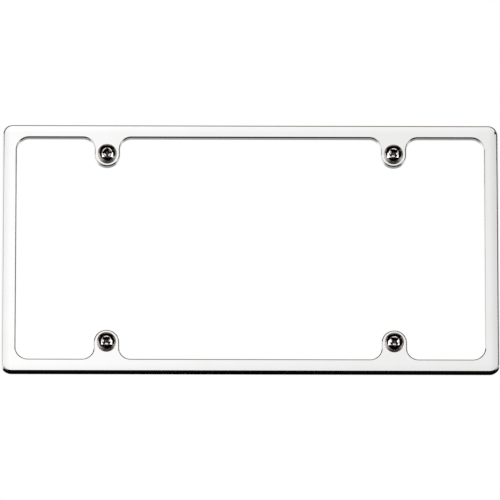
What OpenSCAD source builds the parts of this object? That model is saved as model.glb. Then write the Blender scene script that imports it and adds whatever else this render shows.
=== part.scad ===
// Slim chrome number plate frame, die cast in one piece, with its four pan-head plate screws.
// The frame stands as it does on a vehicle: X is its width, Z is up and the face looks along -Y.
// The origin is the centre of the screw pattern, in the plane of the rim that meets the vehicle.
// The shapes are drawn lying down and stood up at the end. In the drawings Z is towards the viewer,
// and 0 is where the plate's front rests.

/* [Number plate] */
// Width of the plate that the frame goes round
plate_w = 304.8; // [300:0.2:312]
// Height of the plate
plate_h = 152.4; // [150:0.2:158]
// Distance between the plate's left or right edge and its screws
screw_edge_x = 63.5; // [55:0.5:75]
// Distance between the plate's top or bottom edge and its screws
screw_edge_z = 15.875; // [14.5:0.005:17]

/* [Frame section] */
// Room between each side edge of the plate and the flange
side_gap = 0.4; // [0.2:0.05:1.5]
// Room between the top or bottom edge of the plate and the flange
end_gap = 2.15; // [0.5:0.05:3]
// Thickness of the flange at its rim
flange_t = 1.4; // [1.2:0.1:2.4]
// Depth of the frame in front of the plate
seat_depth = 4; // [3.2:0.1:6]
// Depth of the flange behind the plate's front
rim_depth = 1; // [0.6:0.1:3]
// Thickness of the face over the channel
skin_t = 1.6; // [1.2:0.1:2.2]
// Thickness of the lip round the window
lip_t = 1.5; // [1.2:0.1:2.5]
// Width of the ledge inside the flange, which the plate's edge rests on
ledge_w = 0.7; // [0.4:0.1:1.2]
// How far the outer walls lean out between the face and the rim
flare = 0.9; // [0.4:0.05:1.3]
// Draft angle of the window's walls
lip_draft = 4.3; // [1:0.1:8]

/* [Face] */
// Width of the left and right rails at the face
side_rail = 8.2; // [6.8:0.1:12]
// Width of the top and bottom rails at the face
end_rail = 7.85; // [6.8:0.05:10]
// Radius of the outer corners, at the face
corner_r = 5.7; // [5.2:0.1:8]
// Radius of the window's corners
window_r = 7.7; // [4:0.1:12]
// Radius that rounds the outer edge of the face
outer_edge_r = 0.9; // [0.5:0.05:1.3]
// Radius that rounds the window's edge of the face
inner_edge_r = 0.8; // [0.4:0.05:1.2]
// Width over which the face rolls off towards its outer edge
roll_w = 5; // [3:0.1:5.1]
// How far the face has fallen at its outer edge
roll_drop = 0.2; // [0.05:0.01:0.4]

/* [Tabs] */
// Radius of each tab's round end, about its screw
tab_r = 7.8; // [7.2:0.1:8.6]
// Radius of the curves that join each tab to its rail
tab_root_r = 7.2; // [2:0.1:7.4]
// Room between a screw's shank and its hole, across the diameter
hole_play = 0.65; // [0.3:0.05:1.2]
// Thickness of the ribs that cross the channel beside each tab
rib_t = 1.2; // [0.8:0.1:2]
// How far the ribs stay back from the plate
rib_setback = 0.6; // [0.2:0.1:1.5]

/* [Screws] */
// Diameter over the thread
shank_d = 6.35; // [5:0.05:6.8]
// Length under the head
shank_l = 19; // [12:0.5:30]
// Length of the chamfer on the tip
tip_l = 1; // [0.4:0.1:1.5]
// How far the plain neck under the head is set back from the thread's crests
neck_step = 0.425; // [0.2:0.025:0.7]
// Diameter of the head
head_d = 11.8; // [10.4:0.1:12.6]
// Height of the head
head_h = 3.7; // [3.2:0.1:4.2]
// Radius of the head's domed top
dome_r = 16; // [13:0.5:24]
// Radius that rounds the head's shoulder
shoulder_r = 1.6; // [0.8:0.1:1.8]
// Width across the cross recess, at the dome
recess_w = 6.2; // [5:0.1:6.8]
// Width across the cross recess, at its floor
recess_floor_w = 2.4; // [1.8:0.1:3]
// Width of each wing of the recess
wing_t = 1.5; // [1:0.1:1.8]
// Diameter of the recess's round middle, at the dome
recess_core_d = 3.4; // [2.4:0.1:3.8]
// Depth of the recess
recess_depth = 2.9; // [2:0.1:3.1]
// Turn of the upper left screw's recess
turn_top_left = 0; // [0:1:89]
// Turn of the upper right screw's recess
turn_top_right = 38; // [0:1:89]
// Turn of the lower left screw's recess
turn_bottom_left = 47; // [0:1:89]
// Turn of the lower right screw's recess
turn_bottom_right = 43; // [0:1:89]

/* [Hidden] */
// Any number above 12 stands for a true circle
$fn = 96;
// How far a cut runs on past the surface that it opens
past = 1;
// How far the strips that cut the window's edge reach into the window
strip_w = 2.4;
// Radius of the wedge that trims each curved run, which is wider than any of them
wedge_r = 30;
// Depth of the whole frame, and the draft angle of its outer walls
frame_depth = seat_depth + rim_depth;
flange_draft = atan(flare / frame_depth);
// Plate pocket, sized to the plate, and the rim round it
pocket_w = plate_w + 2 * side_gap;
pocket_h = plate_h + 2 * end_gap;
// Face, measured between the sharp corners that its edges would have
face_w = pocket_w + 2 * (flange_t - flare);
face_h = pocket_h + 2 * (flange_t - flare);
// Corner centres, seen from the centre of the face
corner_x = face_w / 2 - corner_r;
corner_z = face_h / 2 - corner_r;
// Window, measured between the sharp corners that its edges would have
window_w = face_w - 2 * side_rail;
window_h = face_h - 2 * end_rail;
// Screws, and the hole that each passes through
screw_x = plate_w / 2 - screw_edge_x;
screw_z = plate_h / 2 - screw_edge_z;
hole_d = shank_d + hole_play;
// Neck of each screw, which is as long as the frame is deep, so that the thread starts in the rim's plane
neck_d = shank_d - 2 * neck_step;
// Distance between a screw and the centres of its tab's root curves
root_x = tab_r + tab_root_r;
root_z = window_h / 2 - tab_root_r;
// Width of the border that carries the rolled edge, and how far the slab inside it passes the corner
// centres, which covers the border's inner side and stays clear of the roll
border_w = (corner_r + roll_w) / 2;
slab_past = 0.6 * (corner_r - roll_w);
// Screw positions and the turn of each one's recess
SCREWS = [
    [-1, 1, turn_top_left],
    [1, 1, turn_top_right],
    [-1, -1, turn_bottom_left],
    [1, -1, turn_bottom_right]
];

// Radius of an arc that falls by drop over a distance of width from its crest
function roll_radius(width, drop) = (width * width + drop * drop) / (2 * drop);

// Where a crest of radius crown_r, which starts width back from the edge, meets an edge rounded to
// edge_r on a wall that leans out by draft: the angle of the crest there
function meet_angle(crown_r, width, edge_r, draft) =
    asin((width * cos(draft) + crown_r * sin(draft) - edge_r) / (crown_r - edge_r)) - draft;

// Half of a crowned section, from its inner side to its outer wall, where outer is the place of the
// wall's sharp top edge
module crowned_section(inner, outer, bottom, top, width, crown_r, edge_r, draft) {
    meet = meet_angle(crown_r, width, edge_r, draft);
    crown = [outer - width, top - crown_r];
    meet_dir = [sin(meet), cos(meet)];
    wall_dir = [cos(draft), sin(draft)];
    edge = crown + (crown_r - edge_r) * meet_dir;
    foot = outer + (top - bottom) * tan(draft);
    polygon([
        [inner, bottom], [foot, bottom], edge + edge_r * wall_dir, edge, [outer - width, top], [inner, top]
    ]);
    sector(crown, crown_r, (top - bottom) / 2, [0, 1], meet_dir);
    sector(edge, edge_r, edge_r, meet_dir, wall_dir);
}

// The outermost depth of a circle's sector between two directions, whose outer chord clears the circle
module sector(centre, radius, depth, from_dir, to_dir) {
    inside = radius - depth;
    outside = (radius + past) / (norm(from_dir + to_dir) / 2);
    intersection() {
        translate(centre)
            circle(r = radius);
        polygon([
            centre + inside * from_dir,
            centre + outside * from_dir,
            centre + outside * to_dir,
            centre + inside * to_dir
        ]);
    }
}

// Section of the border, with the sharp edge of its outer wall at x = 0
module border_section() {
    crowned_section(
        -border_w, 0, -rim_depth, seat_depth,
        roll_w, roll_radius(roll_w, roll_drop), outer_edge_r, flange_draft
    );
}

// Section of what is cut away along the window's edge, with the window on its left
module window_edge_section() {
    edge = [inner_edge_r * (1 - sin(lip_draft)) / cos(lip_draft), seat_depth - inner_edge_r];
    bottom = -rim_depth - past;
    difference() {
        polygon([
            [-strip_w, bottom],
            [-(seat_depth - bottom) * tan(lip_draft), bottom],
            edge + inner_edge_r * [-cos(lip_draft), sin(lip_draft)],
            edge,
            edge + [0, inner_edge_r + past],
            [-strip_w, seat_depth + past]
        ]);
        translate(edge)
            circle(r = inner_edge_r);
    }
}

// Rectangle with round corners, about the origin
module rounded_rect(width, height, radius) {
    square([width - 2 * radius, height], center = true);
    square([width, height - 2 * radius], center = true);
    for (x = [-1, 1], z = [-1, 1])
        translate([x * (width / 2 - radius), z * (height / 2 - radius)])
            circle(r = radius);
}

// A straight run of a section, from one point to another, with the section's right side on the right
module straight_run(from, to) {
    run = to - from;
    translate(from)
        rotate([0, 0, atan2(run[1], run[0])])
            rotate([90, 0, 90])
                linear_extrude(height = norm(run))
                    mirror([1, 0])
                        children();
}

// A run of a section round a centre, through the angles from start to start + sweep
module curved_run(centre, start, sweep = 90) {
    translate(centre)
        intersection() {
            rotate([0, 0, start - 90])
                rotate_extrude()
                    children();
            translate([0, 0, -rim_depth - 2 * past])
                linear_extrude(height = frame_depth + 4 * past)
                    polygon([
                        [0, 0],
                        for (turn = [0:45:sweep]) wedge_r * [cos(start + turn), sin(start + turn)]
                    ]);
        }
}

// Slab with the frame's outer shape
module outer_body() {
    translate([0, 0, seat_depth - frame_depth / 2])
        cube([2 * (corner_x + slab_past), 2 * (corner_z + slab_past), frame_depth], center = true);
    for (side = [0, 180])
        rotate([0, 0, side]) {
            translate([face_w / 2, 0])
                straight_run([0, -corner_z], [0, corner_z])
                    border_section();
            translate([0, face_h / 2])
                straight_run([corner_x, 0], [-corner_x, 0])
                    border_section();
        }
    each_quarter()
        curved_run([corner_x, corner_z], 0)
            translate([corner_r, 0])
                border_section();
}

// Outline of the open window, drawn in from its edge by inset
module window_outline(inset) {
    difference() {
        rounded_rect(window_w - 2 * inset, window_h - 2 * inset, window_r - inset);
        for (screw = SCREWS)
            mirror([0, screw[1] < 0 ? 1 : 0])
                translate([screw[0] * screw_x, 0])
                    tab_outline(inset);
    }
}

// Outline of one upper tab, grown by inset
module tab_outline(inset) {
    top = window_h / 2;
    root = tab_root_r - inset;
    translate([0, screw_z])
        circle(r = tab_r + inset);
    translate([-tab_r - inset, screw_z])
        square([2 * (tab_r + inset), top - screw_z]);
    difference() {
        translate([-root_x, root_z])
            square([2 * root_x, top - root_z]);
        for (side = [-1, 1])
            translate([side * root_x, root_z])
                circle(r = root);
    }
}

// Repeats an upper right shape in all four quarters of the frame
module each_quarter() {
    for (turn = [0, 1], tip = [0, 1])
        mirror([turn, 0])
            mirror([0, tip])
                children();
}

// What is cut away along the straight stretches of the window's edge. Those beside the tabs run on
// past the start of the round ends, which curve away from them.
module straight_edges() {
    top = window_h / 2;
    for (turn = [0, 1])
        mirror([turn, 0])
            straight_run([window_w / 2, window_r - top], [window_w / 2, top - window_r])
                window_edge_section();
    each_quarter() {
        straight_run([window_w / 2 - window_r, top], [screw_x + root_x, top])
            window_edge_section();
        straight_run([screw_x - root_x, top], [0, top])
            window_edge_section();
        for (side = [0, 1])
            translate([screw_x, 0])
                mirror([side, 0])
                    straight_run([tab_r, root_z], [tab_r, screw_z - past])
                        window_edge_section();
    }
}

// What is cut away round the window's corners, the tabs' ends and the curves at their roots
module curved_edges() {
    each_quarter() {
        curved_run([window_w / 2 - window_r, window_h / 2 - window_r], 0)
            translate([window_r, 0])
                window_edge_section();
        for (side = [0, 1])
            translate([screw_x, 0])
                mirror([side, 0])
                    curved_run([root_x, root_z], 90)
                        translate([tab_root_r, 0])
                            window_edge_section();
        curved_run([screw_x, screw_z], 180, 180)
            translate([tab_r, 0])
                mirror([1, 0])
                    window_edge_section();
    }
}

// Hollow behind the face, between the flange and the lip, with ribs beside each tab
module channel() {
    translate([0, 0, -rim_depth - past])
        linear_extrude(height = frame_depth - skin_t + past)
            difference() {
                rounded_rect(pocket_w - 2 * ledge_w, pocket_h - 2 * ledge_w, corner_r - ledge_w);
                rounded_rect(window_w + 2 * lip_t, window_h + 2 * lip_t, window_r + lip_t);
            }
}

// Ribs that cross the channel in line with the sides of each tab
module ribs() {
    foot = window_h / 2 + lip_t / 2;
    length = pocket_h / 2 - ledge_w / 2 - foot;
    for (screw = SCREWS, side = [-1, 1])
        mirror([0, screw[1] < 0 ? 1 : 0])
            translate([screw[0] * screw_x + side * (tab_r - rib_t / 2), foot + length / 2])
                translate([0, 0, (seat_depth - skin_t / 2 + rib_setback) / 2])
                    cube([rib_t, length, seat_depth - skin_t / 2 - rib_setback], center = true);
}

// Frame with its window, channel, plate pocket and screw holes, before the window's edge is finished
module blank() {
    difference() {
        outer_body();
        translate([0, 0, -rim_depth - past])
            linear_extrude(height = frame_depth + 2 * past)
                window_outline(strip_w / 2);
        difference() {
            channel();
            ribs();
        }
        translate([0, 0, -rim_depth - past])
            linear_extrude(height = rim_depth + past)
                rounded_rect(pocket_w, pocket_h, corner_r);
        for (screw = SCREWS)
            translate([screw[0] * screw_x, screw[1] * screw_z, -past])
                cylinder(d = hole_d, h = seat_depth + 2 * past);
    }
}

// Whole frame, lying on its back
module frame_lying() {
    difference() {
        difference() {
            blank();
            straight_edges();
        }
        curved_edges();
    }
}

// Cross recess, cut down from the top of the dome at z = 0
module recess() {
    for (turn = [0, 90])
        rotate([0, 0, turn])
            rotate([90, 0, 0])
                translate([0, 0, -wing_t / 2])
                    linear_extrude(height = wing_t)
                        polygon([
                            [-recess_floor_w / 2, -recess_depth],
                            [recess_floor_w / 2, -recess_depth],
                            [recess_w / 2, 0],
                            [recess_w / 2, past],
                            [-recess_w / 2, past],
                            [-recess_w / 2, 0]
                        ]);
    translate([0, 0, -recess_depth])
        cylinder(d1 = wing_t, d2 = recess_core_d, h = recess_depth);
    cylinder(d = recess_core_d, h = past);
}

// One screw, upright, with the underside of its head at z = 0
module screw_upright() {
    difference() {
        rotate_extrude()
            crowned_section(0, head_d / 2, 0, head_h, head_d / 2, dome_r, shoulder_r, 0);
        translate([0, 0, head_h])
            recess();
    }
    translate([0, 0, neck_step - frame_depth])
        cylinder(d = neck_d, h = frame_depth - neck_step);
    translate([0, 0, -frame_depth])
        cylinder(d1 = shank_d, d2 = neck_d, h = neck_step);
    translate([0, 0, tip_l - shank_l])
        cylinder(d = shank_d, h = shank_l - tip_l - frame_depth);
    translate([0, 0, -shank_l])
        cylinder(d1 = shank_d - 2 * tip_l, d2 = shank_d, h = tip_l);
}

// Stands a lying shape up, with the back of the rim in the plane Y = 0
module standing() {
    translate([0, -rim_depth, 0])
        rotate([90, 0, 0])
            children();
}

module frame() {
    color("gainsboro")
        standing()
            frame_lying();
}

module screws() {
    color("dimgray")
        standing()
            for (screw = SCREWS)
                translate([screw[0] * screw_x, screw[1] * screw_z, seat_depth])
                    rotate([0, 0, screw[2]])
                        screw_upright();
}

frame();
screws();
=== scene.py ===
"""Looks of a chrome number plate frame and its four plate screws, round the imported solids.

Each piece is modelled in millimetres, lying on its back with Z towards the viewer and 0 where the plate's
front rests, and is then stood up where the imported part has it. The studio's lengths are in metres.
"""

import logging
import math
from dataclasses import dataclass, field
from enum import Enum
from typing import Any, Callable, Iterable, Mapping, Sequence

import bmesh
import bpy
from mathutils import Matrix, Vector


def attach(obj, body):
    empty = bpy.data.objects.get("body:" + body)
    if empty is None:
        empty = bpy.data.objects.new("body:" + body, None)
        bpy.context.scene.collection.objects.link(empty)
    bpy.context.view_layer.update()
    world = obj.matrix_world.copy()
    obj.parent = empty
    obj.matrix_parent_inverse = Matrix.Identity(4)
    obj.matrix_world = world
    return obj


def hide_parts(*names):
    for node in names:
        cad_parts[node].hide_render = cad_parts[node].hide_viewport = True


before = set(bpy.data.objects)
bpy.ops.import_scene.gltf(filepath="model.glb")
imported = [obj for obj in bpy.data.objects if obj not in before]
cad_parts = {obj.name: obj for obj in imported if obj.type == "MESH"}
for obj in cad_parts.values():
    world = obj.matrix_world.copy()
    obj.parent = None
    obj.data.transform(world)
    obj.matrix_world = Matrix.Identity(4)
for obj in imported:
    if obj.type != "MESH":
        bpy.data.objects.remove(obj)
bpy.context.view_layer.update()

LOG = logging.getLogger("plate_frame")
MILLIMETRE = 0.001
# How far each screw stands from the middle of the frame, across and up, in millimetres
SCREW_PLACE = (88.9, 60.325)
# How far a cutter runs on past the surface that it opens, in millimetres
PAST = 1.0
# Corners this near a cutting plane are taken to lie on it, in millimetres
ON_PLANE = 0.00001
# Faces that meet at less than this many degrees are shaded as one surface
SMOOTH_BELOW = 30.0
# How far broad faces outweigh narrow ones in the shading of a corner, from 1 to 100
BROAD_WEIGHT = 80
# Turns of a card that stands upright and of one that lies flat, in degrees
UPRIGHT = (90, 0, 0)
FLAT = (0, 0, 0)

Point = tuple[float, float]
Colour = tuple[float, float, float]
Stops = tuple[tuple[float, Colour], ...]


class Edge(Enum):
    """Kinds of mesh element that can be picked in edit mode."""

    CORNER = "VERT"
    LINE = "EDGE"
    FACE = "FACE"


class Merge(Enum):
    """Ways in which two closed shapes are put together."""

    CUT = "DIFFERENCE"
    JOIN = "UNION"
    COMMON = "INTERSECT"


# Shader graphs


class Signal:
    """A number that changes over a surface, held as the output socket that gives it."""

    def __init__(self, graph: "Graph", socket: bpy.types.NodeSocket) -> None:
        """Wraps a socket.

        Args:
            graph: Graph that the socket's node stands in.
            socket: Output socket to read.
        """
        self.graph = graph
        self.socket = socket

    def _math(self, operation: str, first: Any, second: Any = 0.0) -> "Signal":
        """Adds one Math node.

        Args:
            operation: Name of the operation.
            first: Its first number or signal.
            second: Its second number or signal.

        Returns:
            The result.
        """
        made = self.graph.node("ShaderNodeMath", {"operation": operation}, {0: first, 1: second})
        return Signal(self.graph, made.outputs[0])

    def __add__(self, other: Any) -> "Signal":
        """Sum."""
        return self._math("ADD", self, other)

    __radd__ = __add__

    def __sub__(self, other: Any) -> "Signal":
        """Difference."""
        return self._math("SUBTRACT", self, other)

    def __rsub__(self, other: Any) -> "Signal":
        """Difference from a number."""
        return self._math("SUBTRACT", other, self)

    def __mul__(self, other: Any) -> "Signal":
        """Product."""
        return self._math("MULTIPLY", self, other)

    __rmul__ = __mul__

    def __truediv__(self, other: Any) -> "Signal":
        """Quotient."""
        return self._math("DIVIDE", self, other)

    def __pow__(self, other: Any) -> "Signal":
        """Power."""
        return self._math("POWER", self, other)

    def __abs__(self) -> "Signal":
        """Absolute value."""
        return self._math("ABSOLUTE", self)

    def step(self, low: float, high: float) -> "Signal":
        """Smooth step from 0 at low to 1 at high.

        Args:
            low: Where the step starts.
            high: Where it ends.

        Returns:
            The stepped signal.
        """
        made = self.graph.node(
            "ShaderNodeMapRange",
            {"interpolation_type": "SMOOTHSTEP"},
            {"Value": self, "From Min": low, "From Max": high},
        )
        return Signal(self.graph, made.outputs["Result"])


class Graph:
    """Node tree of one material or of the world."""

    def __init__(self, tree: bpy.types.NodeTree) -> None:
        """Empties a tree, to fill it.

        Args:
            tree: Tree of the material or world.
        """
        self.tree = tree
        tree.nodes.clear()

    def node(
        self,
        kind: str,
        settings: Mapping[str, Any] | None = None,
        inputs: Mapping[str | int, Any] | None = None,
    ) -> bpy.types.Node:
        """Adds one node.

        Args:
            kind: Blender's name of the node type.
            settings: Its own settings, which are set first.
            inputs: Values, signals or sockets for its inputs, by name or number.

        Returns:
            The node.
        """
        made = self.tree.nodes.new(kind)
        for name, value in (settings or {}).items():
            setattr(made, name, value)
        for name, value in (inputs or {}).items():
            source = value.socket if isinstance(value, Signal) else value
            if isinstance(source, bpy.types.NodeSocket):
                self.tree.links.new(source, made.inputs[name])
            else:
                made.inputs[name].default_value = source
        return made

    def place(self, stretch: Sequence[float] = (1, 1, 1)) -> bpy.types.NodeSocket:
        """Place on the piece in metres, in the row frame.

        Args:
            stretch: Factor on each axis.

        Returns:
            The vector socket.
        """
        place = self.node("ShaderNodeTexCoord").outputs["Object"]
        if tuple(stretch) == (1, 1, 1):
            return place
        return self.node("ShaderNodeMapping", {}, {"Vector": place, "Scale": stretch}).outputs[0]

    def noise(self, scale: float, detail: float = 2, stretch: Sequence[float] = (1, 1, 1)) -> Signal:
        """Soft noise over the piece.

        Args:
            scale: Waves in a metre.
            detail: How many finer octaves it has.
            stretch: Factor on each axis.

        Returns:
            The noise, from 0 to 1.
        """
        made = self.node(
            "ShaderNodeTexNoise",
            {"noise_dimensions": "3D"},
            {"Vector": self.place(stretch), "Scale": scale, "Detail": detail, "Roughness": 0.55},
        )
        return Signal(self, made.outputs["Fac"])

    def distance(self, across: float, up: float) -> Signal:
        """Distance from the nearest of four axes that look forward, one in each quarter.

        Args:
            across: Distance of the axes from the middle, in metres.
            up: Height of the upper ones above it, in metres.

        Returns:
            The distance, in metres.
        """
        place = self.node("ShaderNodeSeparateXYZ", {}, {"Vector": self.place()})
        beside = abs(Signal(self, place.outputs["X"])) - across
        above = abs(Signal(self, place.outputs["Z"])) - up
        return (beside * beside + above * above) ** 0.5

    def blend(self, share: Any, first: Any, second: Any, kind: str = "MIX") -> bpy.types.NodeSocket:
        """Mixes two colours.

        Args:
            share: Share of the second colour.
            first: Colour at 0.
            second: Colour at 1.
            kind: Blender's name of the way in which they mix.

        Returns:
            The mixed colour's socket.
        """
        colours = [(*c, 1.0) if isinstance(c, tuple) else c for c in (first, second)]
        settings = {"data_type": "RGBA", "blend_type": kind}
        made = self.node("ShaderNodeMix", settings, {0: share, 6: colours[0], 7: colours[1]})
        return made.outputs[2]

    def ramp(self, share: Signal, stops: Stops) -> bpy.types.NodeSocket:
        """Runs through a row of colours.

        Args:
            share: Place in the row, from 0 to 1.
            stops: Each colour's place and the colour.

        Returns:
            The colour's socket.
        """
        made = self.node("ShaderNodeValToRGB", {}, {0: share})
        points = made.color_ramp.elements
        while len(points) < len(stops):
            points.new(0.5)
        for point, (place, colour) in zip(points, stops):
            point.position = place
            point.color = (*colour, 1.0)
        return made.outputs[0]

    def bumps(self, layers: Iterable[tuple[Signal, float]]) -> bpy.types.NodeSocket | None:
        """Stacks bump layers.

        Args:
            layers: Each layer's signal and its height in metres.

        Returns:
            The normal socket.
        """
        normal = None
        for height, distance in layers:
            inputs = {"Height": height, "Distance": distance, "Strength": 1.0}
            if normal is not None:
                inputs["Normal"] = normal
            normal = self.node("ShaderNodeBump", {}, inputs).outputs[0]
        return normal

    def finish(self, shader: bpy.types.Node, output: str = "ShaderNodeOutputMaterial") -> None:
        """Sends a shader to the output.

        Args:
            shader: Last shader node.
            output: Type of the output node.
        """
        self.node(output, {}, {"Surface": shader.outputs[0]})


# Finishes


@dataclass(frozen=True)
class Finish:
    """One material, by name."""

    name: str

    def shade(self, graph: Graph) -> bpy.types.Node:
        """Adds the finish's own nodes and returns its last shader."""
        raise NotImplementedError

    def make(self) -> bpy.types.Material:
        """Builds the material.

        Returns:
            The material.
        """
        material = bpy.data.materials.new(self.name)
        material.use_nodes = True
        graph = Graph(material.node_tree)
        graph.finish(self.shade(graph))
        return material


@dataclass(frozen=True)
class SatinRimAndReflection:
    """Rougher plating on the rounded shoulder of each screw's head, whose warm tint is a painted reflection,
    with radii in millimetres.
    """

    start: float
    end: float
    haze: float
    painted_reflection_tint: Colour


@dataclass(frozen=True)
class Chrome(Finish):
    """Bright chrome plating over a polished casting or a turned head.

    The polish is the least roughness and the haze what the patterns add to it. The ripple and the grain
    are heights in metres, and the clouds, swirls, scratches, pits and dust are waves in a metre. Each edge
    says where a pattern, from 0 to 1, sets in and is full, and each share how much of it counts.
    """

    colour: Colour
    warm: Colour
    haze: float
    polish: float
    ripple: float
    grain: float
    clouds: float = 55
    swirls: float = 420
    scratches: float = 260
    pits: float = 2400
    dust: float = 3100
    cloud_edge: Point = (0.3, 0.75)
    scratch_edge: Point = (0.5, 0.68)
    dust_edge: Point = (0.70, 0.78)
    cloud_share: float = 0.6
    scratch_share: float = 0.6
    dust_share: float = 0.3
    rim: SatinRimAndReflection | None = None

    def shade(self, graph: Graph) -> bpy.types.Node:
        """Adds the plating's clouds, fine scratches, dust and waves.

        Args:
            graph: Graph of the material.

        Returns:
            The shader.
        """
        cloud = graph.noise(self.clouds, 3)
        swirl = graph.noise(self.swirls, 2)
        lines = (
            graph.noise(self.scratches, 4, (1, 6, 22)) * 0.5
            + graph.noise(self.scratches, 4, (22, 6, 1)) * 0.5
        )
        specks = graph.noise(self.dust, 1).step(*self.dust_edge)
        scratched = lines.step(*self.scratch_edge) * self.haze * self.scratch_share
        roughness = cloud * self.haze + scratched + specks * self.haze + self.polish
        warmth = cloud.step(*self.cloud_edge) * self.cloud_share + specks * self.dust_share
        colour = graph.blend(warmth, self.colour, self.warm)
        # On each screw's shoulder ring the plating is rougher and tinted warm; the tint is a painted
        # reflection.
        if self.rim is not None:
            radius = graph.distance(*(place * MILLIMETRE for place in SCREW_PLACE))
            rim = radius.step(self.rim.start * MILLIMETRE, self.rim.end * MILLIMETRE)
            roughness = roughness + rim * self.rim.haze
            colour = graph.blend(rim, colour, self.rim.painted_reflection_tint)
        normal = graph.bumps(
            [(swirl, self.ripple), (lines, self.grain), (graph.noise(self.pits, 2), self.grain)]
        )
        inputs = {"Base Color": colour, "Metallic": 1.0, "Roughness": roughness, "Normal": normal}
        return graph.node("ShaderNodeBsdfPrincipled", {}, inputs)


@dataclass(frozen=True)
class RecessShade(Finish):
    """Near-black colour in a driver recess, which is painted shade, with brown patches that are a painted
    warm reflection.

    The patches and the pits are waves in a metre, and the other numbers are meant as in Chrome.
    """

    colour: Colour
    painted_warm_reflection: Colour
    haze: float = 0.2
    polish: float = 0.22
    grain: float = 0.00002
    patches: float = 1500
    pits: float = 2600
    patch_edge: Point = (0.38, 0.62)

    def shade(self, graph: Graph) -> bpy.types.Node:
        """Adds the painted shade's patches and pits.

        Args:
            graph: Graph of the material.

        Returns:
            The shader.
        """
        dark_share = graph.noise(self.patches, 3).step(*self.patch_edge)
        inputs = {
            "Base Color": graph.blend(dark_share, self.painted_warm_reflection, self.colour),
            "Metallic": 1.0,
            "Roughness": dark_share * self.haze + self.polish,
            "Normal": graph.bumps([(graph.noise(self.pits, 3), self.grain)]),
        }
        return graph.node("ShaderNodeBsdfPrincipled", {}, inputs)


@dataclass(frozen=True)
class Paper(Finish):
    """Pale seamless paper of the floor."""

    colour: Colour
    haze: float = 0.9
    sheen: float = 0.1

    def shade(self, graph: Graph) -> bpy.types.Node:
        """Adds the plain paper."""
        inputs = {"Base Color": (*self.colour, 1.0), "Roughness": self.haze, "Specular IOR Level": self.sheen}
        return graph.node("ShaderNodeBsdfPrincipled", {}, inputs)


@dataclass(frozen=True)
class Glow(Finish):
    """Soft glow of a studio card, which changes across the card and from its foot to its top."""

    size: Point
    across: Stops
    up: Stops
    strength: float

    def shade(self, graph: Graph) -> bpy.types.Node:
        """Adds the two rows of colours, one across the card and one up it.

        Args:
            graph: Graph of the material.

        Returns:
            The shader.
        """
        place = graph.node("ShaderNodeSeparateXYZ", {}, {"Vector": graph.place()})
        across = Signal(graph, place.outputs["X"]) / self.size[0] + 0.5
        up = Signal(graph, place.outputs["Y"]) / self.size[1] + 0.5
        colour = graph.blend(1.0, graph.ramp(across, self.across), graph.ramp(up, self.up), "MULTIPLY")
        return graph.node("ShaderNodeEmission", {}, {"Color": colour, "Strength": self.strength})


FRAME_CHROME = Chrome(
    name="frame_chrome",
    colour=(0.955, 0.955, 0.96),
    warm=(0.935, 0.925, 0.915),
    haze=0.014,
    polish=0.02,
    ripple=0.0000005,
    grain=0.00000004,
)
SCREW_CHROME = Chrome(
    name="screw_chrome",
    colour=(0.90, 0.895, 0.89),
    warm=(0.84, 0.82, 0.80),
    haze=0.03,
    polish=0.03,
    ripple=0.0000006,
    grain=0.0000001,
    # The shoulder ring's warm tint is a painted reflection.
    rim=SatinRimAndReflection(start=4.85, end=5.3, haze=0.40, painted_reflection_tint=(0.96, 0.89, 0.83)),
)
# Painted shade in the screws' recesses, with brown patches as a painted warm reflection.
RECESS_SHADE = RecessShade(name="recess_painted_shade", colour=(0.05, 0.026, 0.013), painted_warm_reflection=(0.17, 0.11, 0.07))
FLOOR_PAPER = Paper(name="floor_paper", colour=(0.86, 0.86, 0.86))


# Workbench


def clear_bench() -> None:
    """Goes back to object mode, with nothing selected."""
    active = bpy.context.view_layer.objects.active
    if active is not None and active.mode != "OBJECT":
        bpy.ops.object.mode_set(mode="OBJECT")
    bpy.ops.object.select_all(action="DESELECT")


def take_up(thing: bpy.types.Object) -> None:
    """Makes an object the active one and the only one selected."""
    clear_bench()
    thing.select_set(True)
    bpy.context.view_layer.objects.active = thing


def put(thing: bpy.types.Object, matrix: Matrix) -> None:
    """Moves an object, with its new place in its mesh.

    Args:
        thing: The object.
        matrix: Its new place.
    """
    take_up(thing)
    thing.matrix_world = matrix
    bpy.ops.object.transform_apply(location=True, rotation=True, scale=True)


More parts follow.
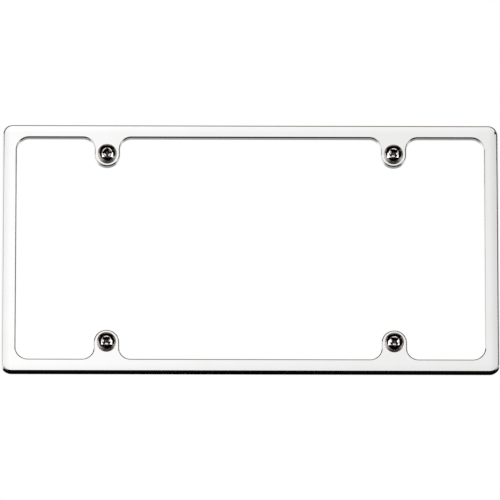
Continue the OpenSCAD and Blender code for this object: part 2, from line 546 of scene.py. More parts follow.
class Workpiece:
    """One mesh in millimetres, shaped with Blender's own modelling tools."""

    def __init__(self, name: str, corners: int, size: Point, height: float) -> None:
        """Starts from a flat face that looks up.

        Args:
            name: Name of the object.
            corners: 4 for a rectangle, more for a round disc.
            size: Width and depth of the face.
            height: Height at which it lies.
        """
        clear_bench()
        if corners == 4:
            bpy.ops.mesh.primitive_plane_add(size=1, location=(0, 0, 0))
        else:
            bpy.ops.mesh.primitive_circle_add(
                vertices=corners, radius=0.5, fill_type="NGON", location=(0, 0, 0)
            )
        self.thing = bpy.context.active_object
        self.thing.name = name
        bpy.ops.object.mode_set(mode="EDIT")
        bpy.ops.mesh.select_mode(type=Edge.CORNER.value)
        bpy.ops.mesh.select_all(action="SELECT")
        bpy.ops.transform.resize(value=(size[0], size[1], 1))
        bpy.ops.transform.translate(value=(0, 0, height))

    def use(self, mode: str = "EDIT") -> None:
        """Makes this piece the active one, in a mode.

        Args:
            mode: Blender's name of the mode.
        """
        take_up(self.thing)
        if mode != "OBJECT":
            bpy.ops.object.mode_set(mode=mode)

    def raise_face(self, height: float, grow: Point = (1, 1)) -> None:
        """Extrudes the picked face upwards and resizes its end.

        Args:
            height: How far up, or down where it is negative.
            grow: Factors on the end's width and depth.
        """
        bpy.ops.mesh.extrude_region_move(TRANSFORM_OT_translate={"value": (0, 0, height)})
        if grow != (1, 1):
            bpy.ops.transform.resize(value=(*grow, 1))

    def face_outwards(self) -> None:
        """Turns all faces outwards."""
        bpy.ops.mesh.select_all(action="SELECT")
        bpy.ops.mesh.normals_make_consistent(inside=False)

    def pick(self, kind: Edge, test: Callable[[Any], bool]) -> None:
        """Picks elements in edit mode by a test.

        Args:
            kind: Kind of element.
            test: Says whether an element is picked.
        """
        bpy.ops.mesh.select_mode(type=kind.value)
        bpy.ops.mesh.select_all(action="DESELECT")
        mesh = bmesh.from_edit_mesh(self.thing.data)
        found = {Edge.CORNER: mesh.verts, Edge.LINE: mesh.edges, Edge.FACE: mesh.faces}[kind]
        for element in found:
            if test(element):
                element.select_set(True)
        mesh.select_flush_mode()
        bmesh.update_edit_mesh(self.thing.data)

    def split(self, point: Sequence[float], normal: Sequence[float], keep_below: bool = False) -> None:
        """Cuts the mesh along a plane.

        Args:
            point: Point on the plane.
            normal: Direction that the plane faces.
            keep_below: Whether what lies beyond the plane is removed and the cut closed.
        """
        bpy.ops.mesh.select_all(action="SELECT")
        bpy.ops.mesh.bisect(
            plane_co=point, plane_no=normal, clear_outer=keep_below, use_fill=keep_below, threshold=ON_PLANE
        )

    def round_corners(self, radius: float, segments: int, test: Callable[[Any], bool]) -> None:
        """Rounds the outline's corners that a test picks.

        Args:
            radius: Radius of the rounding.
            segments: Number of edges in each arc.
            test: Says whether a corner is rounded.
        """
        self.pick(Edge.CORNER, test)
        bpy.ops.mesh.bevel(
            offset_type="OFFSET", offset=radius, segments=segments, profile=0.5, affect="VERTICES",
            clamp_overlap=False,
        )

    def lead(self, path: Sequence[Point]) -> None:
        """Draws the picked face along a section, one inset for each step.

        Args:
            path: The section's points, as how far in from the outline and how high.
        """
        for (inward, low), (further, high) in zip(path, path[1:]):
            bpy.ops.mesh.inset(
                thickness=further - inward, depth=high - low, use_even_offset=True, use_boundary=True
            )

    def merge(self, other: "Workpiece", way: Merge) -> None:
        """Combines another closed piece with this one and uses it up.

        Args:
            other: The other piece.
            way: How they are combined.
        """
        other.use("OBJECT")
        self.use("OBJECT")
        modifier = self.thing.modifiers.new(way.value.lower(), "BOOLEAN")
        modifier.operation = way.value
        modifier.solver = "EXACT"
        modifier.material_mode = "TRANSFER"
        modifier.object = other.thing
        bpy.ops.object.modifier_apply(modifier=modifier.name)
        bpy.data.objects.remove(other.thing)

    def stand(self, name: str, matrix: Matrix) -> bpy.types.Object:
        """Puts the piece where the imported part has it, in metres.

        Args:
            name: Name of the finished piece.
            matrix: Its place in the row frame.

        Returns:
            The object, at the origin and unscaled.
        """
        put(self.thing, matrix)
        self.thing.name = name
        self.thing.data.name = name
        return self.thing

    def polish(self) -> None:
        """Smooths the shading over rounded faces and keeps flats flat."""
        self.use("OBJECT")
        bpy.ops.object.shade_smooth_by_angle(angle=math.radians(SMOOTH_BELOW))
        modifier = self.thing.modifiers.new("flats", "WEIGHTED_NORMAL")
        modifier.mode = "FACE_AREA"
        modifier.weight = BROAD_WEIGHT
        modifier.keep_sharp = True
        bpy.ops.object.modifier_apply(modifier=modifier.name)


def arc(centre: Point, radius: float, start: float, end: float, steps: int) -> list[Point]:
    """Points along an arc, both ends included.

    Args:
        centre: Centre of the arc.
        radius: Its radius.
        start: Angle of the first point, in degrees.
        end: Angle of the last point, in degrees.
        steps: Number of steps between them.

    Returns:
        The points.
    """
    angles = [math.radians(start + (end - start) * k / steps) for k in range(steps + 1)]
    return [(centre[0] + radius * math.cos(a), centre[1] + radius * math.sin(a)) for a in angles]


@dataclass(frozen=True)
class Crown:
    """Half of a crowned section: a drafted wall, a rounded edge and a face that rolls off towards it."""

    top: float
    width: float
    crown_r: float
    edge_r: float
    draft: float

    def path(self, outer: float, bottom: float, edge_steps: int, crown_steps: int) -> list[Point]:
        """Section from the foot of the wall to the crest.

        Args:
            outer: Place of the wall's sharp top edge.
            bottom: Height of the foot.
            edge_steps: Number of steps round the edge.
            crown_steps: Number of steps over the crown.

        Returns:
            The points, as distance from the middle and height.
        """
        draft = math.radians(self.draft)
        lean = self.width * math.cos(draft) + self.crown_r * math.sin(draft) - self.edge_r
        meet = math.degrees(math.asin(lean / (self.crown_r - self.edge_r))) - self.draft
        crown = (outer - self.width, self.top - self.crown_r)
        reach = self.crown_r - self.edge_r
        edge = (
            crown[0] + reach * math.sin(math.radians(meet)),
            crown[1] + reach * math.cos(math.radians(meet)),
        )
        foot = (outer + (self.top - bottom) * math.tan(draft), bottom)
        rounding = arc(edge, self.edge_r, self.draft, 90 - meet, edge_steps)
        return [foot, *rounding, *arc(crown, self.crown_r, 90 - meet, 90, crown_steps)[1:]]


def standing(across: float = 0, up: float = 0, out: float = 0, turn: float = 0) -> Matrix:
    """Place of a lying piece once it is stood up, with the back of the rim in the plane Y = 0.

    Args:
        across: Distance from the middle to the right, in millimetres.
        up: Distance upwards.
        out: Distance towards the viewer.
        turn: Turn about the direction of view, in degrees.

    Returns:
        The matrix from the piece's own millimetres to the row frame.
    """
    return (
        Matrix.Translation((0, -PlateFrame.rim_depth * MILLIMETRE, 0))
        @ Matrix.Scale(MILLIMETRE, 4)
        @ Matrix.Rotation(math.radians(90), 4, "X")
        @ Matrix.Translation((across, up, out))
        @ Matrix.Rotation(math.radians(turn), 4, "Z")
    )


# Frame


@dataclass
class PlateFrame:
    """The cast frame, in millimetres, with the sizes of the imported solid.

    Corners within touch of a line belong to it, corners within same of each other are one, and edges that
    turn by less than straight degrees are one line.
    """

    plate: Point = (304.8, 152.4)
    gap: Point = (0.4, 2.15)
    screw: Point = SCREW_PLACE
    rail: Point = (8.2, 7.85)
    flange_t: float = 1.4
    flare: float = 0.9
    seat_depth: float = 4.0
    rim_depth: float = 1.0
    skin_t: float = 1.6
    lip_t: float = 1.5
    ledge_w: float = 0.7
    lip_draft: float = 4.3
    corner_r: float = 5.7
    window_r: float = 7.7
    outer_edge_r: float = 0.9
    inner_edge_r: float = 0.8
    roll_w: float = 5.0
    roll_drop: float = 0.2
    tab_r: float = 7.8
    tab_root_r: float = 7.2
    hole_d: float = 7.0
    rib_t: float = 1.2
    rib_setback: float = 0.6
    slab_steps: int = 16
    corner_steps: int = 20
    window_steps: int = 18
    root_steps: int = 14
    tab_steps: int = 16
    edge_steps: int = 10
    roll_steps: int = 8
    hole_steps: int = 64
    touch: float = 0.1
    same: float = 0.001
    straight: float = 1.0
    pocket: Point = field(init=False)
    face: Point = field(init=False)
    window: Point = field(init=False)

    def __post_init__(self) -> None:
        """Works out the sizes that follow from the others."""
        self.pocket = tuple(self.plate[k] + 2 * self.gap[k] for k in (0, 1))
        self.face = tuple(self.pocket[k] + 2 * (self.flange_t - self.flare) for k in (0, 1))
        self.window = tuple(self.face[k] - 2 * self.rail[k] for k in (0, 1))

    def slab(self, name: str, size: Point, radius: float, low: float, high: float) -> Workpiece:
        """Rectangular block with round corners.

        Args:
            name: Name of the object.
            size: Its width and depth.
            radius: Radius of its corners.
            low: Height of its underside.
            high: Height of its top.

        Returns:
            The block.
        """
        block = Workpiece(name, 4, size, low)
        block.round_corners(radius, self.slab_steps, lambda corner: True)
        bpy.ops.mesh.select_all(action="SELECT")
        block.raise_face(high - low)
        block.face_outwards()
        return block

    def outside(self) -> Workpiece:
        """Outer wall, rounded edge and rolled border, up to the flat of the face.

        Returns:
            The open shell.
        """
        crown_r = (self.roll_w**2 + self.roll_drop**2) / (2 * self.roll_drop)
        draft = math.degrees(math.atan(self.flare / (self.seat_depth + self.rim_depth)))
        crown = Crown(self.seat_depth, self.roll_w, crown_r, self.outer_edge_r, draft)
        section = crown.path(0, -self.rim_depth, self.edge_steps, self.roll_steps)
        size = tuple(self.face[k] + 2 * self.flare for k in (0, 1))
        shell = Workpiece("outside", 4, size, -self.rim_depth)
        shell.round_corners(self.corner_r + self.flare, self.corner_steps, lambda corner: True)
        bpy.ops.mesh.select_all(action="SELECT")
        shell.lead([(-x, z) for x, z in section])
        bpy.ops.mesh.delete(type="ONLY_FACE")
        return shell

    def opening(self) -> Workpiece:
        """Rounded, drafted edge of the window, round its corners and its tabs.

        Returns:
            The open shell, whose faces look into the window.
        """
        draft = math.radians(self.lip_draft)
        start = self.inner_edge_r * (1 - math.sin(draft)) / math.cos(draft)
        size = tuple(self.window[k] + 2 * start for k in (0, 1))
        tab_half = self.tab_r - start
        tab_end = self.screw[1] - tab_half
        shell = Workpiece("opening", 4, size, self.seat_depth)
        for side in (-1, 1):
            for edge in (-tab_half, tab_half):
                shell.split((side * self.screw[0] + edge, 0, 0), (1, 0, 0))
            shell.split((0, side * tab_end, 0), (0, 1, 0))

        def in_tab(face: Any) -> bool:
            """Whether a face lies where a tab is."""
            middle = face.calc_center_median()
            return abs(abs(middle.x) - self.screw[0]) < tab_half and abs(middle.y) > tab_end

        shell.pick(Edge.FACE, in_tab)
        bpy.ops.mesh.delete(type="FACE")
        bpy.ops.mesh.select_all(action="SELECT")
        bpy.ops.mesh.dissolve_limited(angle_limit=math.radians(self.straight))

        def at_end(corner: Any) -> bool:
            """Whether a corner stands at the left or right end of the window."""
            return abs(corner.co.x) > size[0] / 2 - self.touch

        def at_root(corner: Any) -> bool:
            """Whether a corner joins a tab to its rail."""
            near = abs(abs(abs(corner.co.x) - self.screw[0]) - tab_half) < self.touch
            return near and abs(corner.co.y) > size[1] / 2 - self.touch

        def at_tip(corner: Any) -> bool:
            """Whether a corner stands at the end of a tab."""
            return abs(abs(corner.co.y) - tab_end) < self.touch

        shell.round_corners(self.window_r + start, self.window_steps, at_end)
        shell.round_corners(self.tab_root_r + start, self.root_steps, at_root)
        shell.round_corners(tab_half, self.tab_steps, at_tip)
        bpy.ops.mesh.select_all(action="SELECT")
        bpy.ops.mesh.remove_doubles(threshold=self.same)
        shell.pick(Edge.FACE, lambda face: True)
        middle = (start, self.seat_depth - self.inner_edge_r)
        rounding = arc(middle, self.inner_edge_r, 90, 180 + self.lip_draft, self.edge_steps)
        foot = (-(self.seat_depth + self.rim_depth) * math.tan(draft), -self.rim_depth)
        shell.lead([(start - x, z) for x, z in [*rounding, foot]])
        bpy.ops.mesh.delete(type="ONLY_FACE")
        return shell

    def body(self) -> Workpiece:
        """Closed body of the frame, with its back still solid.

        Returns:
            The body.
        """
        body = self.outside()
        opening = self.opening()
        body.use("OBJECT")
        opening.thing.select_set(True)
        bpy.ops.object.join()
        body.use("EDIT")
        for height in (self.seat_depth, -self.rim_depth):
            body.pick(
                Edge.LINE,
                lambda line: line.is_boundary and all(abs(v.co.z - height) < self.same for v in line.verts),
            )
            bpy.ops.mesh.fill(use_beauty=True)
        body.face_outwards()
        return body

    def channel(self) -> Workpiece:
        """Cutter for the hollow behind the face, which leaves a lip, a ledge and the ribs.

        Returns:
            The cutter.
        """
        low, high = -self.rim_depth - PAST, self.seat_depth - self.skin_t
        outer = tuple(self.pocket[k] - 2 * self.ledge_w for k in (0, 1))
        inner = tuple(self.window[k] + 2 * self.lip_t for k in (0, 1))
        cutter = self.slab("channel", outer, self.corner_r - self.ledge_w, low, high)
        lip = self.slab("lip", inner, self.window_r + self.lip_t, low - PAST, high + PAST)
        cutter.merge(lip, Merge.CUT)
        foot = self.window[1] / 2 + self.lip_t / 2
        length = self.pocket[1] / 2 - self.ledge_w / 2 - foot
        tab_side = self.tab_r - self.rib_t / 2
        for tab in (-self.screw[0], self.screw[0]):
            for across in (tab - tab_side, tab + tab_side):
                for up in (-foot - length / 2, foot + length / 2):
                    rib = Workpiece("rib", 4, (self.rib_t, length), self.rib_setback)
                    rib.raise_face(self.seat_depth)
                    rib.face_outwards()
                    bpy.ops.transform.translate(value=(across, up, 0))
                    cutter.merge(rib, Merge.CUT)
        return cutter

    def build(self) -> bpy.types.Object:
        """Models and dresses the frame.

        Returns:
            The finished piece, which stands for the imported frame.
        """
        body = self.body()
        body.merge(self.channel(), Merge.CUT)
        pocket = self.slab("pocket", self.pocket, self.corner_r, -self.rim_depth - PAST, 0)
        body.merge(pocket, Merge.CUT)
        for across in (-self.screw[0], self.screw[0]):
            for up in (-self.screw[1], self.screw[1]):
                size = (self.hole_d, self.hole_d)
                hole = Workpiece("hole", self.hole_steps, size, -self.rim_depth - PAST)
                hole.raise_face(self.rim_depth + self.seat_depth + 2 * PAST)
                hole.face_outwards()
                bpy.ops.transform.translate(value=(across, up, 0))
                body.merge(hole, Merge.CUT)
        body.polish()
        made = body.stand("chrome_frame", standing())
        made.data.materials.clear()
        made.data.materials.append(FRAME_CHROME.make())
        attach(made, "root")
        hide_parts("frame")
        return made


# Screws


@dataclass
class PlateScrew:
    """One pan-head screw with a cross recess, in millimetres, with the underside of its head at 0.

    The thread is made with some spare at its crests and beyond its ends, and is trimmed to size. The neck
    ends a little inside the thread's root, and the thread a little inside the neck, so that no two
    surfaces coincide where they merge.
    """

    shank_d: float = 6.35
    shank_l: float = 19.0
    tip_l: float = 1.0
    neck_step: float = 0.425
    neck_l: float = 5.0
    pitch: float = 1.27
    thread_depth: float = 0.68
    runout_l: float = 1.1
    head_d: float = 11.8
    head_h: float = 3.7
    dome_r: float = 16.0
    shoulder_r: float = 1.6
    recess_w: float = 6.2
    recess_floor_w: float = 2.4
    wing_t: float = 1.5
    core_d: float = 3.4
    recess_depth: float = 2.9
    ledge_r: float = 2.5
    ledge_w: float = 0.5
    ledge_tilt: float = 8.0
    ledge_bend: float = 0.02
    wing_draft: float = 0.86
    middle_share: float = 0.7
    flank: float = 30.0
    crest_share: float = 0.125
    crest_spare: float = 0.06
    length_spare: float = 3.0
    root_share: float = 0.97
    end_sink: float = 1.04
    coarse_weld: float = 0.0005
    fine_weld: float = 0.0001
    round_steps: int = 96
    core_steps: int = 48
    thread_steps: int = 40
    shoulder_steps: int = 14
    dome_steps: int = 10

    def dome(self, radius: float) -> float:
        """Height of the plain dome at a distance from its middle."""
        return self.head_h - self.dome_r + math.sqrt(self.dome_r**2 - radius**2)

    def dished(self, section: Sequence[Point]) -> list[Point]:
        """Sinks the dome's middle behind a ledge that slopes inwards, as the punch of the recess does.

        Args:
            section: Points of the plain dome, from its edge to its middle.

        Returns:
            The points with the ledge.
        """
        inner, outer, bend = self.ledge_r, self.ledge_r + self.ledge_w, self.ledge_bend
        slope = math.tan(math.radians(self.ledge_tilt))
        drop = self.dome(inner) - self.dome(outer) + self.ledge_w * slope
        before = [(x, z) for x, z in section if x > outer + 2 * bend]
        after = [(x, z - drop) for x, z in section if x < inner - 2 * bend]
        ledge = [
            (x, self.dome(outer) - (outer - x) * slope) for x in (outer, outer - bend, inner + bend, inner)
        ]
        start = (outer + bend, self.dome(outer + bend))
        end = (inner - bend, self.dome(inner - bend) - drop)
        return [*before, start, *ledge, end, *after]

    def head(self) -> Workpiece:
        """Domed head with a rounded shoulder, a plain neck and the root on which the thread runs out.

        Returns:
            The closed head.
        """
        crown = Crown(self.head_h, self.head_d / 2, self.dome_r, self.shoulder_r, 0)
        section = self.dished(crown.path(self.head_d / 2, 0, self.shoulder_steps, self.dome_steps))
        head = Workpiece("head", self.round_steps, (self.head_d, self.head_d), 0)
        head.lead([(self.head_d / 2 - x, z) for x, z in section[:-1]])
        last, crest = section[-2:]
        bpy.ops.mesh.inset(thickness=last[0] * self.middle_share, depth=crest[1] - last[1])
        head.pick(Edge.LINE, lambda line: line.is_boundary)
        bpy.ops.mesh.edge_face_add()
        neck_r = self.shank_d / 2 - self.neck_step
        narrow = (self.shank_d / 2 - self.thread_depth) * self.root_share / neck_r
        bpy.ops.mesh.inset(thickness=self.head_d / 2 - neck_r, depth=0, use_even_offset=True)
        head.raise_face(-self.neck_l)
        head.raise_face(-self.runout_l, (narrow, narrow))
        head.face_outwards()
        return head

    def wing(self, turn: float) -> Workpiece:
        """Cutter for one bar of the cross recess, which narrows towards its floor.

        Args:
            turn: Turn of the bar, in degrees.

        Returns:
            The cutter.
        """
        size = (self.recess_floor_w, self.wing_t * self.wing_draft)
        bar = Workpiece("wing", 4, size, self.head_h - self.recess_depth)
        height = self.recess_depth + PAST
        top = self.recess_floor_w + (self.recess_w - self.recess_floor_w) / self.recess_depth * height
        bar.raise_face(height, (top / self.recess_floor_w, 1 / self.wing_draft))
        bar.face_outwards()
        put(bar.thing, Matrix.Rotation(math.radians(turn), 4, "Z"))
        return bar

    def core(self) -> Workpiece:
        """Cutter for the round middle of the recess.

        Returns:
            The cutter.
        """
        size = (self.wing_t, self.wing_t)
        cone = Workpiece("core", self.core_steps, size, self.head_h - self.recess_depth)
        height = self.recess_depth + PAST
        top = self.wing_t + (self.core_d - self.wing_t) / self.recess_depth * height
        cone.raise_face(height, (top / self.wing_t, top / self.wing_t))
        cone.face_outwards()
        return cone

    def thread(self) -> Workpiece:
        """Thread over its full length, with crests that stand a little proud of their final diameter.

        Returns:
            The closed thread, cut off square beyond both of its ends.
        """
        slope = math.tan(math.radians(self.flank))
        crest, root = self.shank_d / 2 + self.crest_spare, self.shank_d / 2 - self.thread_depth
        rise = (self.thread_depth + self.crest_spare) * slope
        flat = self.pitch * self.crest_share - 2 * self.crest_spare * slope
        path = [(root, 0), (crest, rise), (crest, rise + flat), (root, 2 * rise + flat), (root, self.pitch)]
        piece = Workpiece("thread", 4, (1, 1), 0)
        bpy.ops.mesh.merge(type="CENTER")
        bpy.ops.transform.translate(value=(root, 0, -self.shank_l - 2 * self.pitch))
        for (x, z), (next_x, next_z) in zip(path, path[1:]):
            bpy.ops.mesh.extrude_vertices_move(
                TRANSFORM_OT_translate={"value": (next_x - x, 0, next_z - z)}
            )
        piece.use("OBJECT")
        modifier = piece.thing.modifiers.new("helix", "SCREW")
        modifier.axis = "Z"
        modifier.steps = modifier.render_steps = self.thread_steps
        modifier.screw_offset = self.pitch
        modifier.iterations = math.ceil((self.shank_l + self.length_spare) / self.pitch)
        modifier.use_normal_calculate = True
        modifier.use_merge_vertices = True
        modifier.merge_threshold = self.fine_weld
        bpy.ops.object.modifier_apply(modifier=modifier.name)
        piece.use("EDIT")
        bpy.ops.mesh.select_all(action="SELECT")
        bpy.ops.mesh.remove_doubles(threshold=self.coarse_weld)
        piece.split((0, 0, PAST / 2 - self.neck_l), (0, 0, 1), keep_below=True)
        piece.split((0, 0, -PAST / 2 - self.shank_l), (0, 0, -1), keep_below=True)
        piece.face_outwards()
        return piece

    def envelope(self) -> Workpiece:
        """Plain turned form that trims the thread, with a chamfer at both ends.

        Returns:
            The closed form.
        """
        radius = self.shank_d / 2
        tip = radius - self.tip_l
        end = (radius - self.neck_step * self.end_sink) / radius
        form = Workpiece("envelope", self.round_steps, (2 * tip, 2 * tip), -self.shank_l)
        form.raise_face(self.tip_l, (radius / tip, radius / tip))
        form.raise_face(self.shank_l - self.tip_l - self.neck_l)
        form.raise_face(self.neck_step, (end, end))
        form.face_outwards()
        return form

    def build(self) -> bpy.types.Object:
        """Models one screw, lying with the underside of its head at 0.

        Returns:
            The screw, still in millimetres.
        """
        chrome, recess_shade = SCREW_CHROME.make(), RECESS_SHADE.make()
        body = self.head()
        body.thing.data.materials.append(chrome)
        # The recess cutters give the recess walls the painted shade.
        for cutter in (self.core(), self.wing(0), self.wing(90)):
            cutter.thing.data.materials.append(recess_shade)
            body.merge(cutter, Merge.CUT)
        shank = self.thread()
        shank.merge(self.envelope(), Merge.COMMON)
        shank.thing.data.materials.clear()
        shank.thing.data.materials.append(chrome)
        body.merge(shank, Merge.JOIN)
        body.polish()
        return body.thing


@dataclass
class ScrewSet:
    """The four plate screws, each turned as it was driven."""

    places: tuple[tuple[str, int, int, float], ...] = (
        ("top_left", -1, 1, 0),
        ("top_right", 1, 1, 38),
        ("bottom_left", -1, -1, 47),
        ("bottom_right", 1, -1, 43),
    )

    def build(self, plate_frame: PlateFrame) -> list[bpy.types.Object]:
        """Models one screw and copies it to the four tabs.

        Args:
            plate_frame: Frame that the screws hold.

        Returns:
            The four finished pieces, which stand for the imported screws.
        """
        first = PlateScrew().build()
        made = []
        for name, side, end, turn in self.places:
            screw = first.copy()
            screw.data = first.data.copy()
            screw.name = screw.data.name = f"screw_{name}"
            bpy.context.scene.collection.objects.link(screw)
            across, up = side * plate_frame.screw[0], end * plate_frame.screw[1]
            put(screw, standing(across, up, plate_frame.seat_depth, turn))
            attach(screw, "root")
            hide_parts("screws")
            made.append(screw)
        bpy.data.objects.remove(first)
        return made


# Studio


def even(red: float, green: float, blue: float) -> Stops:
    """One colour from end to end."""
    return tuple((end, (red, green, blue)) for end in (0.0, 1.0))


BLACK = even(0.0008, 0.0007, 0.0006)
BROWN = even(0.006, 0.005, 0.004)
DUSK = even(0.02, 0.017, 0.014)
WHITE = even(1.0, 1.0, 1.0)
BEIGE = (
    (0.0, (0.02, 0.02, 0.02)),
    (0.35, (0.02, 0.02, 0.02)),
    (0.41, (0.36, 0.31, 0.265)),
    (0.58, (0.32, 0.27, 0.23)),
    (0.65, (0.03, 0.025, 0.02)),
    (1.0, (0.03, 0.025, 0.02)),
)
FRONT = (
    (0.0, (0.9, 0.9, 0.905)),
    (0.18, (0.935, 0.935, 0.94)),
    (0.38, (1.06, 1.06, 1.06)),
    (0.51, (0.94, 0.94, 0.938)),
    (0.63, (0.885, 0.885, 0.88)),
    (0.85, (0.74, 0.74, 0.735)),
    (1.0, (0.7, 0.7, 0.695)),
)
FRONT_UP = (
    (0.0, (0.9, 0.9, 0.9)),
    (0.3, (0.95, 0.95, 0.95)),
    (0.55, (1.005, 1.005, 1.005)),
    (0.72, (0.985, 0.985, 0.985)),
    (0.88, (1.04, 1.04, 1.04)),
    (1.0, (1.07, 1.07, 1.07)),
)
BACK = (
    (0.0, (0.95, 0.95, 0.96)),
    (0.56, (0.96, 0.96, 0.96)),
    (0.62, (0.79, 0.79, 0.8)),
    (0.7, (0.77, 0.77, 0.78)),
    (0.72, (0.01, 0.01, 0.01)),
    (1.0, (0.01, 0.01, 0.01)),
)
BACK_UP = (
    (0.0, (0.3, 0.3, 0.31)),
    (0.18, (0.36, 0.36, 0.37)),
    (0.34, (0.45, 0.45, 0.46)),
    (0.48, (1, 1, 1)),
    (1.0, (1, 1, 1)),
)
WIDE_DARK = (
    (0.0, (0.4, 0.39, 0.38)),
    (0.09, (0.3, 0.29, 0.28)),
    (0.16, (0.001, 0.001, 0.001)),
    (0.84, (0.001, 0.001, 0.001)),
    (0.91, (0.3, 0.29, 0.28)),
    (1.0, (0.4, 0.39, 0.38)),
)
SLIM_DARK = (
    (0.0, (0.55, 0.55, 0.55)),
    (0.34, (0.4, 0.39, 0.38)),
    (0.43, (0.001, 0.001, 0.001)),
    (0.62, (0.001, 0.001, 0.001)),
    (0.72, (0.3, 0.29, 0.28)),
    (1.0, (0.5, 0.5, 0.5)),
)
RIGHT_UP = (
    (0.0, (0.42, 0.41, 0.4)),
    (0.08, (0.2, 0.19, 0.18)),
    (0.14, (0.005, 0.005, 0.004)),
    (0.93, (0.005, 0.005, 0.004)),
    (1.0, (0.2, 0.19, 0.18)),
)
SIDE_UP = (
    (0.0, (0.6, 0.6, 0.6)),
    (0.18, (0.4, 0.39, 0.38)),
    (0.28, (0.03, 0.027, 0.024)),
    (0.74, (0.03, 0.027, 0.024)),
    (0.84, (0.34, 0.32, 0.3)),
    (1.0, (0.5, 0.49, 0.48)),
)
LEFT_UP = (
    (0.0, (0.73, 0.69, 0.65)),
    (0.585, (0.73, 0.69, 0.65)),
    (0.6, (0.01, 0.01, 0.01)),
    (1.0, (0.01, 0.01, 0.01)),
)


@dataclass(frozen=True)
class Card:
    """A flat studio card that shows only in reflections, as a tent's panels do.

    Its centre and size are in metres, and its tilt is in degrees about X, Y and Z. Its glow changes
    across it and up it.
    """

    name: str
    centre: tuple[float, float, float]
    size: Point
    tilt: tuple[float, float, float]
    across: Stops
    up: Stops = WHITE
    strength: float = 1.0

    def make(self) -> None:
        """Builds the card."""
        clear_bench()
        tilt = [math.radians(angle) for angle in self.tilt]
        bpy.ops.mesh.primitive_plane_add(size=1, location=self.centre, rotation=tilt)
        card = bpy.context.active_object
        card.name = self.name
        card.scale = (*self.size, 1)
        bpy.ops.object.transform_apply(location=False, rotation=False, scale=True)
        glow = Glow(self.name, self.size, self.across, self.up, self.strength)
        card.data.materials.append(glow.make())
        card.visible_camera = False
        card.visible_diffuse = False
        card.visible_shadow = False


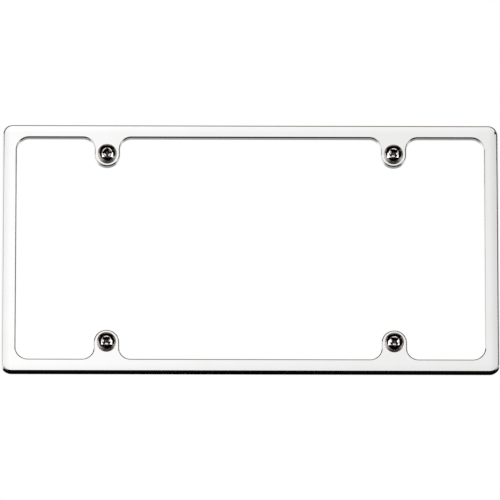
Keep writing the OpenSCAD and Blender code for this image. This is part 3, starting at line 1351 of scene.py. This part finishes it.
@dataclass
class Studio:
    """Camera, pale floor, white surroundings and the cards that the chrome mirrors."""

    azimuth: float = -0.50
    elevation: float = -15.2
    distance: float = 5.41
    lens: float = 628.5
    sensor: float = 36
    clip: Point = (0.05, 60)
    aim: Point = (-0.0002, 0.0)
    floor_height: float = -2.3
    floor_size: float = 40
    cards: tuple[Card, ...] = (
        Card("front", (0, -3, 0.58), (1.94, 1.68), UPRIGHT, FRONT, FRONT_UP),
        Card("left_panel", (-1.185, -3, 0.58), (0.43, 1.68), UPRIGHT, WHITE, strength=2.0),
        Card("right_panel", (1.185, -3, 0.58), (0.43, 1.68), UPRIGHT, WHITE, strength=2.0),
        Card("brow", (0, -3, 1.66), (5, 0.48), UPRIGHT, WIDE_DARK),
        Card("left_brow", (-1.02, -2.95, 1.18), (0.82, 0.475), UPRIGHT, BLACK),
        Card("right_brow", (1.02, -2.95, 1.18), (0.82, 0.475), UPRIGHT, BLACK),
        Card("skirt", (0, -3, -0.43), (5, 0.34), UPRIGHT, BLACK),
        Card("below_front", (0, -2.45, -0.6), (5, 1.1), FLAT, WIDE_DARK),
        Card("below", (0, -0.9, -0.6), (5, 2.0), FLAT, SLIM_DARK),
        Card("below_back", (0, 0.28, -0.6), (2, 0.36), FLAT, DUSK),
        Card("below_far", (0, 0.75, -0.6), (1.6, 0.58), FLAT, BLACK),
        Card("above", (0, -2.15, 1.9), (5, 1.7), FLAT, WIDE_DARK),
        Card("zenith", (0, 0.4, 1.9), (5, 3.4), FLAT, BEIGE),
        Card("right", (2.3, 1.6, 0.65), (4.8, 2.5), (90, 0, 90), WHITE, SIDE_UP),
        Card("right_front", (2.19, -2.47, 0.65), (2.8, 2.5), (90, 0, 48.5), WHITE, RIGHT_UP),
        Card("left", (-4, -1.12, 1.0), (8.96, 4.8), (90, 0, 90), WHITE, LEFT_UP),
        Card("left_front", (-1.7, -2.83, 0.65), (0.58, 2.5), (90, 0, -31), BROWN),
        Card("low_right", (1.15, 2.0, -0.93), (0.6, 1.13), UPRIGHT, BLACK),
        Card("low_right_in", (0.655, 2.0, -1.155), (0.47, 0.69), UPRIGHT, BLACK),
        Card("low_left", (-1.15, 2.0, -0.93), (0.6, 1.13), UPRIGHT, BLACK),
        Card("low_left_in", (-0.655, 2.0, -1.155), (0.47, 0.69), UPRIGHT, BLACK),
        Card("back", (0, 3, 0.1), (8, 4.4), UPRIGHT, BACK, BACK_UP),
    )

    def camera(self) -> None:
        """Places the camera at the photograph's angle."""
        turn, lift = math.radians(self.azimuth), math.radians(self.elevation)
        back = Vector((math.sin(turn) * math.cos(lift), -math.cos(turn) * math.cos(lift), math.sin(lift)))
        rotation = (-back).to_track_quat("-Z", "Y")
        target = rotation @ Vector((*self.aim, 0))
        data = bpy.data.cameras.new("camera")
        data.lens = self.lens
        data.sensor_width = self.sensor
        data.clip_start, data.clip_end = self.clip
        camera = bpy.data.objects.new("camera", data)
        bpy.context.scene.collection.objects.link(camera)
        camera.rotation_mode = "QUATERNION"
        camera.rotation_quaternion = rotation
        camera.location = target + back * self.distance
        bpy.context.scene.camera = camera

    def floor(self) -> None:
        """Lays the pale floor."""
        clear_bench()
        bpy.ops.mesh.primitive_plane_add(size=self.floor_size, location=(0, 0, self.floor_height))
        floor = bpy.context.active_object
        floor.name = "floor"
        floor.data.materials.append(FLOOR_PAPER.make())

    def surroundings(self) -> None:
        """Sets the plain white world."""
        world = bpy.data.worlds.new("surroundings")
        world.use_nodes = True
        bpy.context.scene.world = world
        graph = Graph(world.node_tree)
        shader = graph.node("ShaderNodeBackground", {}, {"Color": (1, 1, 1, 1), "Strength": 1.0})
        graph.finish(shader, "ShaderNodeOutputWorld")

    def build(self) -> None:
        """Builds the whole studio."""
        self.camera()
        self.floor()
        self.surroundings()
        for card in self.cards:
            card.make()
        bpy.context.scene.view_settings.view_transform = "Standard"


def report(pieces: Iterable[bpy.types.Object]) -> None:
    """Logs each piece's size and number of faces.

    Args:
        pieces: The finished pieces.
    """
    for piece in pieces:
        size = [round(side / MILLIMETRE, 3) for side in piece.dimensions]
        LOG.info("%s: %s mm, %d faces", piece.name, size, len(piece.data.polygons))


def main() -> None:
    """Builds the frame, its screws and the studio, in that order."""
    logging.basicConfig(level=logging.INFO, format="%(name)s: %(message)s")
    plate_frame = PlateFrame()
    report([plate_frame.build()])
    report(ScrewSet().build(plate_frame))
    Studio().build()


if __name__ == "__main__":
    main()
